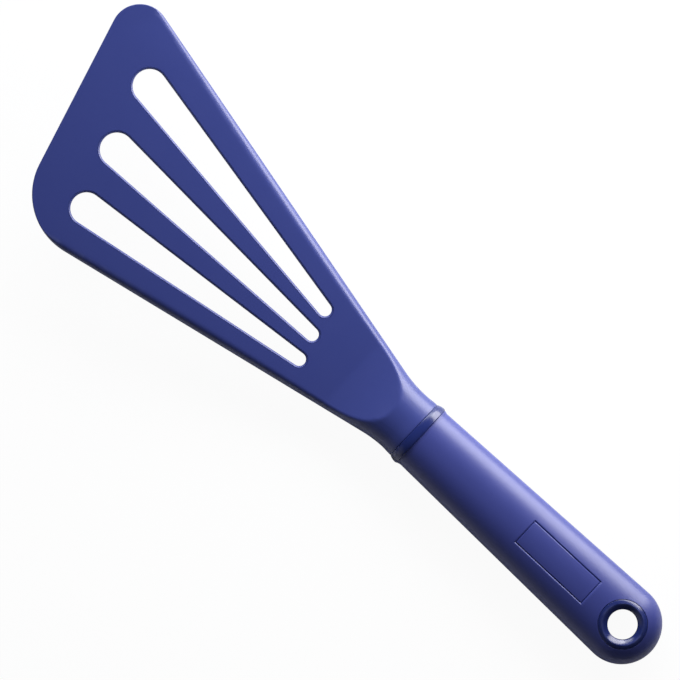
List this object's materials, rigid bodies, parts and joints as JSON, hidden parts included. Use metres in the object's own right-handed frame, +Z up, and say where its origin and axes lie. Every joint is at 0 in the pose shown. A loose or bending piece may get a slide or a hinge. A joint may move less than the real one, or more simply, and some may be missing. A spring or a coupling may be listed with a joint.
{
  "type": "slotted spatula",
  "caption": "Slotted kitchen spatula: a thin fan-shaped blade with a slanted front edge and tapered slots, on an oval satin grip with a glossy collar and a hanging eye.",
  "frame": {"origin": "on the table under the middle of the whole outline, with the spatula lying on its eye's lower lip and its collar", "axes": "+X along the grip from the hanging eye towards the blade's front edge, +Z up through the hanging eye, out of the scooped upper face"},
  "size_m": [0.3092, 0.0906, 0.0321],
  "materials": {
    "blade_satin": "satin moulded nylon, deep blue",
    "grip_satin": "satin moulded grip, deep blue",
    "trim_gloss": "glossy moulded trim, dark blue",
    "core_gloss": "plain moulded core, dark blue, hidden"
  },
  "bodies": {
    "root": {"slotted_blade": "blade_satin", "collar_ring": "trim_gloss", "grip_sleeve": "grip_satin", "handle_core": "core_gloss", "eyelet_bush": "trim_gloss", "eyelet_ring": "trim_gloss", "badge_plate": "grip_satin"}
  },
  "joints": []
}
